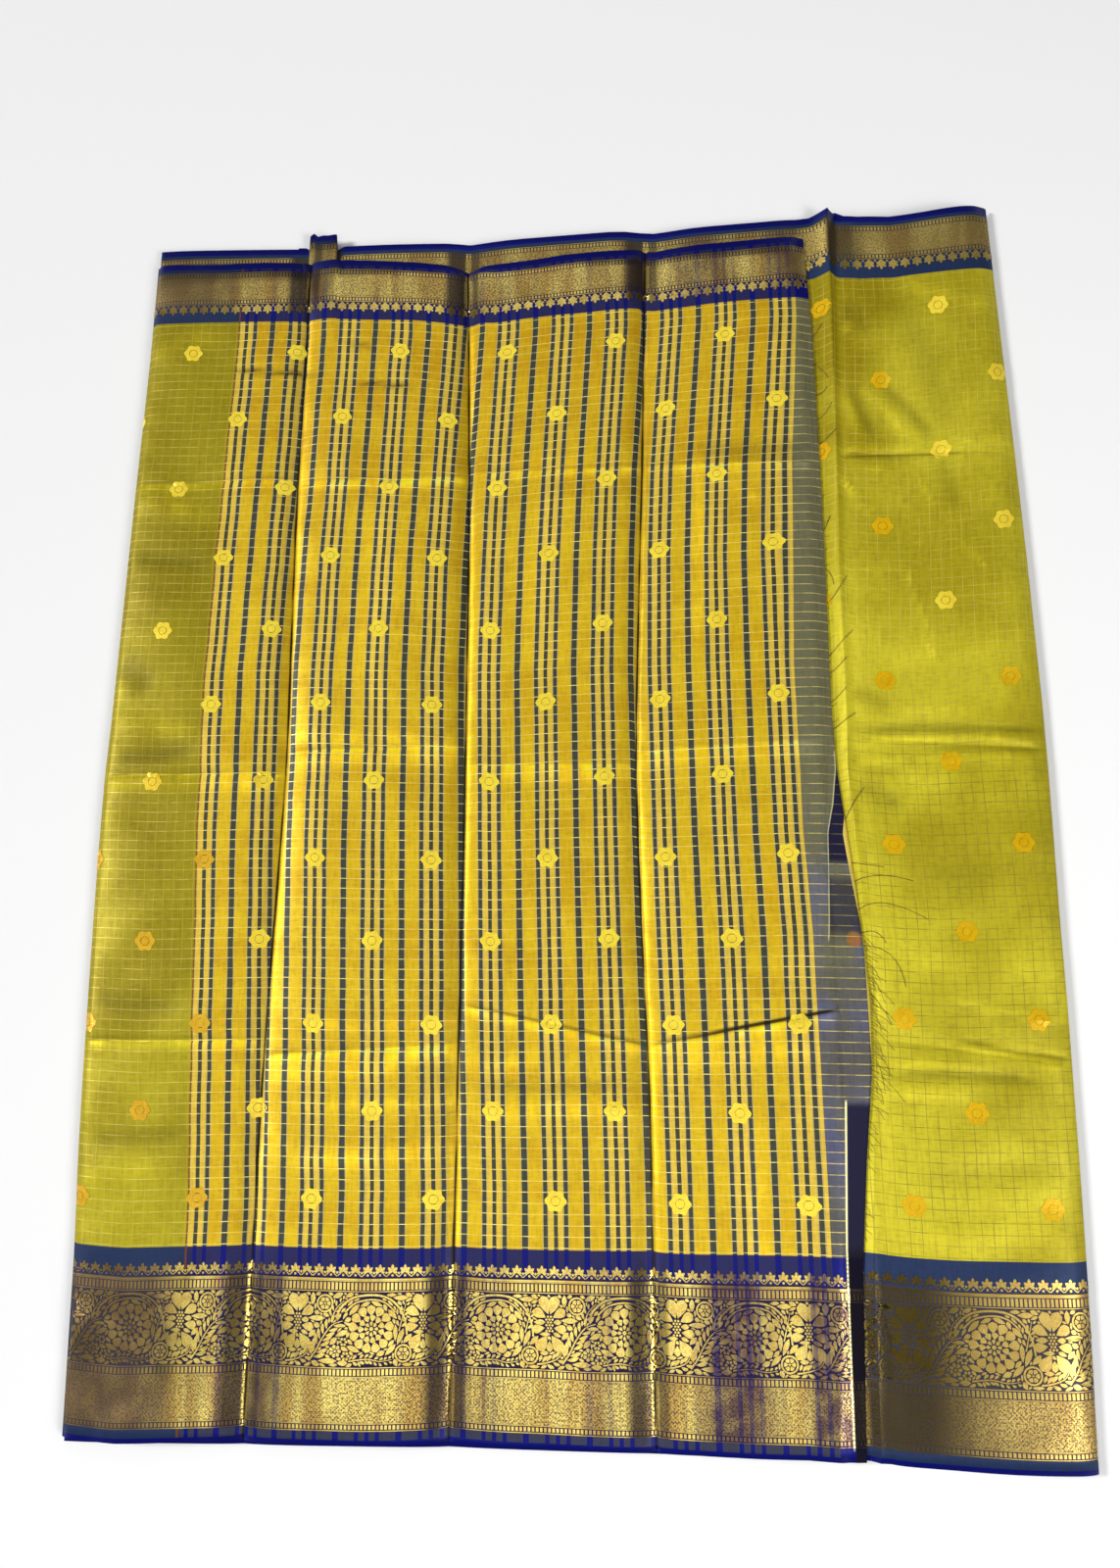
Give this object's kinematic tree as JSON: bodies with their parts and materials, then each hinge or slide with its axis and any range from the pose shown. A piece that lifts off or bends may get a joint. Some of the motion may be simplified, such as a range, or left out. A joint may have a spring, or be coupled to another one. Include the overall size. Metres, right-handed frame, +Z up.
{
  "type": "folded saree",
  "caption": "Saree folded flat in a rectangular pack: striped end piece with a wide patterned border on top, checked body cloth beside it, frayed raw end.",
  "frame": {"origin": "on the table under the middle of the folded pack", "axes": "+Z up from the table; +Y along the pack's longer side, from the wide border to the narrow one; +X along the cloth's length, from the left fold to the right one"},
  "size_m": [0.882, 1.1639, 0.0171],
  "materials": {
    "hidden_layers": "soft silk-cotton with a faint sheen, seen at its folded edges",
    "body_cloth": "olive green shot silk-cotton with a fine gold check and gold borders, soft sheen",
    "pallu_cloth": "mustard silk-cotton with navy and beige stripes and gold-thread borders, soft sheen",
    "thread": "thin loose yarn, dull"
  },
  "bodies": {
    "root": {"folded_layers": "hidden_layers", "body_stretch": "body_cloth", "pallu_stretch": "pallu_cloth", "loose_threads": "thread"}
  },
  "joints": []
}
